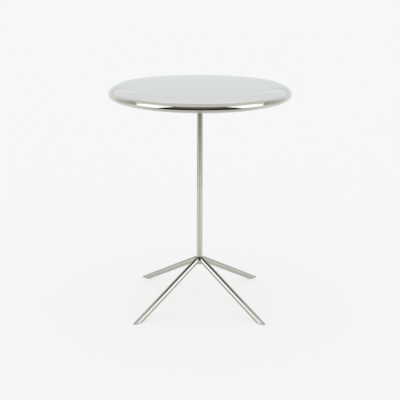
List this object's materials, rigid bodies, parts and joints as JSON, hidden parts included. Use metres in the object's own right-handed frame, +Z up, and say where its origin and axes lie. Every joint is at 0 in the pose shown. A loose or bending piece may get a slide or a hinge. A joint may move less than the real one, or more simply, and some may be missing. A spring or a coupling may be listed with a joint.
{
  "type": "round side table",
  "caption": "Round side table: plump hollow top of polished sheet metal on a thin tubular stem with spreading tubular legs and floor glides.",
  "frame": {"origin": "on the floor under the stem, at the centre of the base of the bounding box", "axes": "+Z up along the stem; the picture's front is -Y, and the legs point between the X and Y axes"},
  "size_m": [0.3959, 0.396, 0.5],
  "materials": {
    "polished_top": "mirror polished, slightly warm",
    "polished_tube": "mirror polished along the tube",
    "mild_steel": "mill finish, oiled",
    "turned_steel": "fine turned, satin",
    "zinc_fastener": "bright zinc",
    "bitumen_felt": "matt, fibrous",
    "black_rubber": "matt",
    "glide_nylon": "moulded grey nylon"
  },
  "bodies": {
    "root": {"top_upper_shell": "polished_top", "top_lower_shell": "polished_top", "seam_ring": "mild_steel", "damping_pad": "bitumen_felt", "backing_plate": "mild_steel", "weld_nuts": "mild_steel", "flange_pad": "black_rubber", "stem_flange": "turned_steel", "flange_screws": "zinc_fastener", "lock_washers": "zinc_fastener", "stem_tube": "polished_tube", "stem_plug": "polished_tube", "leg_front_left": "polished_tube", "glide_front_left": "glide_nylon", "leg_front_right": "polished_tube", "glide_front_right": "glide_nylon", "leg_back_left": "polished_tube", "glide_back_left": "glide_nylon", "leg_back_right": "polished_tube", "glide_back_right": "glide_nylon"}
  },
  "joints": []
}
